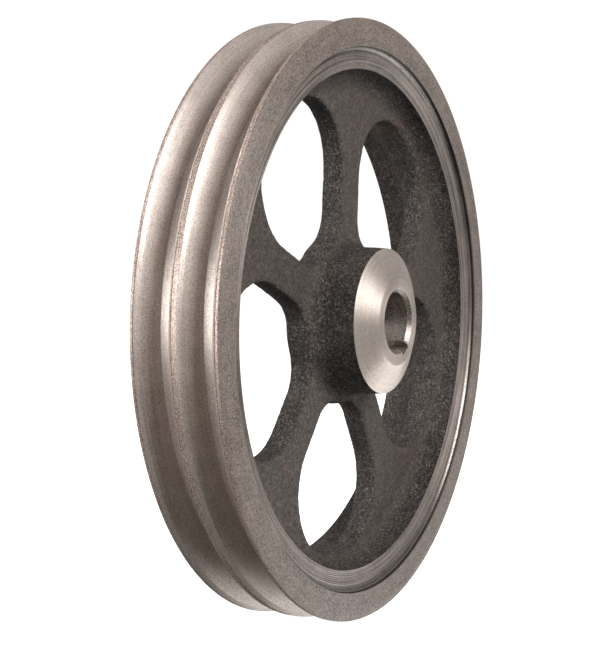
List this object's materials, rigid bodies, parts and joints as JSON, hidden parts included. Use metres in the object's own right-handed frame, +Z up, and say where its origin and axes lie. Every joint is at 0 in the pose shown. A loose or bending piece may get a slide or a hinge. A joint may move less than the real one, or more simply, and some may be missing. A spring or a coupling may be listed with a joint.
{
  "type": "v belt pulley",
  "caption": "Cast iron V belt pulley with two grooves, a web with windows between the arms, a long hub with a keyed bore, and a set screw over the keyway.",
  "frame": {"origin": "centre of the wheel, on the bore's axis and midway across the rim", "axes": "+Y along the bore from the long hub's side to the rear, +Z up, +X to the right seen from the front"},
  "size_m": [0.26, 0.0514, 0.26],
  "materials": {
    "turned_iron": "turned grey iron, satin, with fine tool lines",
    "cast_iron_skin": "dark sand-cast skin, rough; the hub's nose and bore are turned bright",
    "blackened_steel": "black oxide steel, slightly oily"
  },
  "bodies": {
    "casting": {"rim_band": "turned_iron", "front_flange": "turned_iron", "centre_rib": "turned_iron", "rear_flange": "turned_iron", "arm_1": "cast_iron_skin", "arm_2": "cast_iron_skin", "arm_3": "cast_iron_skin", "arm_4": "cast_iron_skin", "arm_5": "cast_iron_skin", "hub": "cast_iron_skin"},
    "screw": {"set_screw": "blackened_steel"}
  },
  "joints": [
    {"name": "set_screw_travel", "type": "slide", "parent": "casting", "child": "screw", "axis": [0.4833, 0, -0.8755], "range_m": [-0.001, 0.009]}
  ]
}
